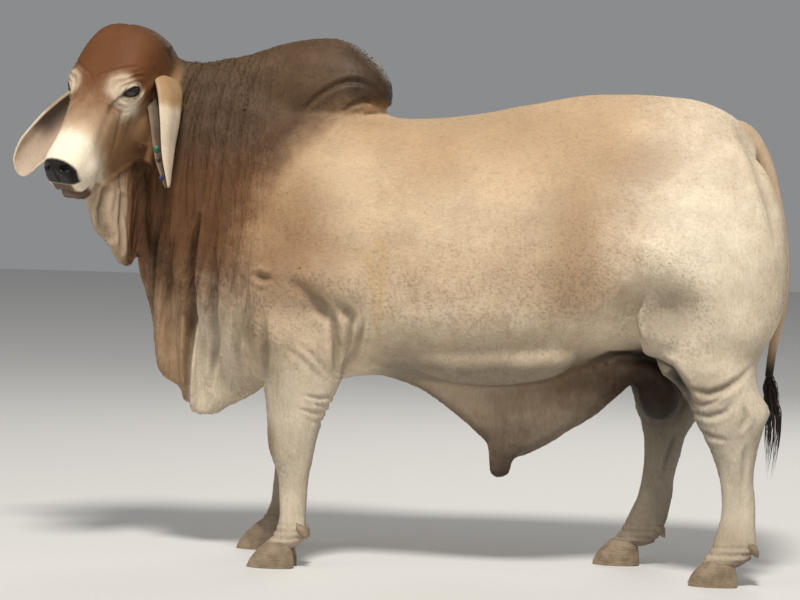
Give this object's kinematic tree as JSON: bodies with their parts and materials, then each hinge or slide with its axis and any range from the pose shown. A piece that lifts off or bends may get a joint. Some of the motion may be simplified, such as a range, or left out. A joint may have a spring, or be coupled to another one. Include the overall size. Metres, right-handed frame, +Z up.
{
  "type": "brahman bull",
  "caption": "Life-size standing Brahman bull with hump, long dewlap, pendulous ears and sheath, head turned to its left; a still display model.",
  "frame": {"origin": "middle of the bounding box on the floor, between the four feet", "axes": "+Z up, -X towards the bull's front, -Y towards the bull's left side, to which its head is turned"},
  "size_m": [2.5524, 0.8236, 1.7528],
  "materials": {
    "black_hair": "coarse hair, black",
    "eye": "wet and glossy, almost black",
    "hide_cream": "matte short coat, cream",
    "hide_dark": "matte short coat, grey brown",
    "hide_ear": "thin short-haired skin, cream",
    "hide_fawn": "matte short coat, fawn",
    "hide_red_brown": "matte short coat, red brown and cream",
    "hoof": "matte horn, tan brown, dusty",
    "horn": "matte horn, grey",
    "skin_dark": "bare skin, dark red brown",
    "tag_blue": "moulded plastic, dark blue",
    "tag_dark": "moulded plastic, black",
    "tag_green": "moulded plastic, green"
  },
  "bodies": {
    "root": {"dewclaw_foreleg_left_inner": "hoof", "dewclaw_foreleg_left_outer": "hoof", "dewclaw_foreleg_right_inner": "hoof", "dewclaw_foreleg_right_outer": "hoof", "dewclaw_hindleg_left_inner": "hoof", "dewclaw_hindleg_left_outer": "hoof", "dewclaw_hindleg_right_inner": "hoof", "dewclaw_hindleg_right_outer": "hoof", "dewlap": "hide_fawn", "ear_left": "hide_ear", "ear_right": "hide_ear", "eye_left": "eye", "eye_right": "eye", "foreleg_left": "hide_cream", "foreleg_right": "hide_cream", "head": "hide_red_brown", "hindleg_left": "hide_cream", "hindleg_right": "hide_cream", "hoof_foreleg_left_inner": "hoof", "hoof_foreleg_left_outer": "hoof", "hoof_foreleg_right_inner": "hoof", "hoof_foreleg_right_outer": "hoof", "hoof_hindleg_left_inner": "hoof", "hoof_hindleg_left_outer": "hoof", "hoof_hindleg_right_inner": "hoof", "hoof_hindleg_right_outer": "hoof", "horn_left": "horn", "horn_right": "horn", "hump": "hide_dark", "neck": "hide_dark", "scrotum": "skin_dark", "sheath": "hide_fawn", "tag_blue": "tag_blue", "tag_dark": "tag_dark", "tag_green": "tag_green", "tail": "hide_fawn", "tail_switch": "black_hair", "torso": "hide_fawn"}
  },
  "joints": []
}
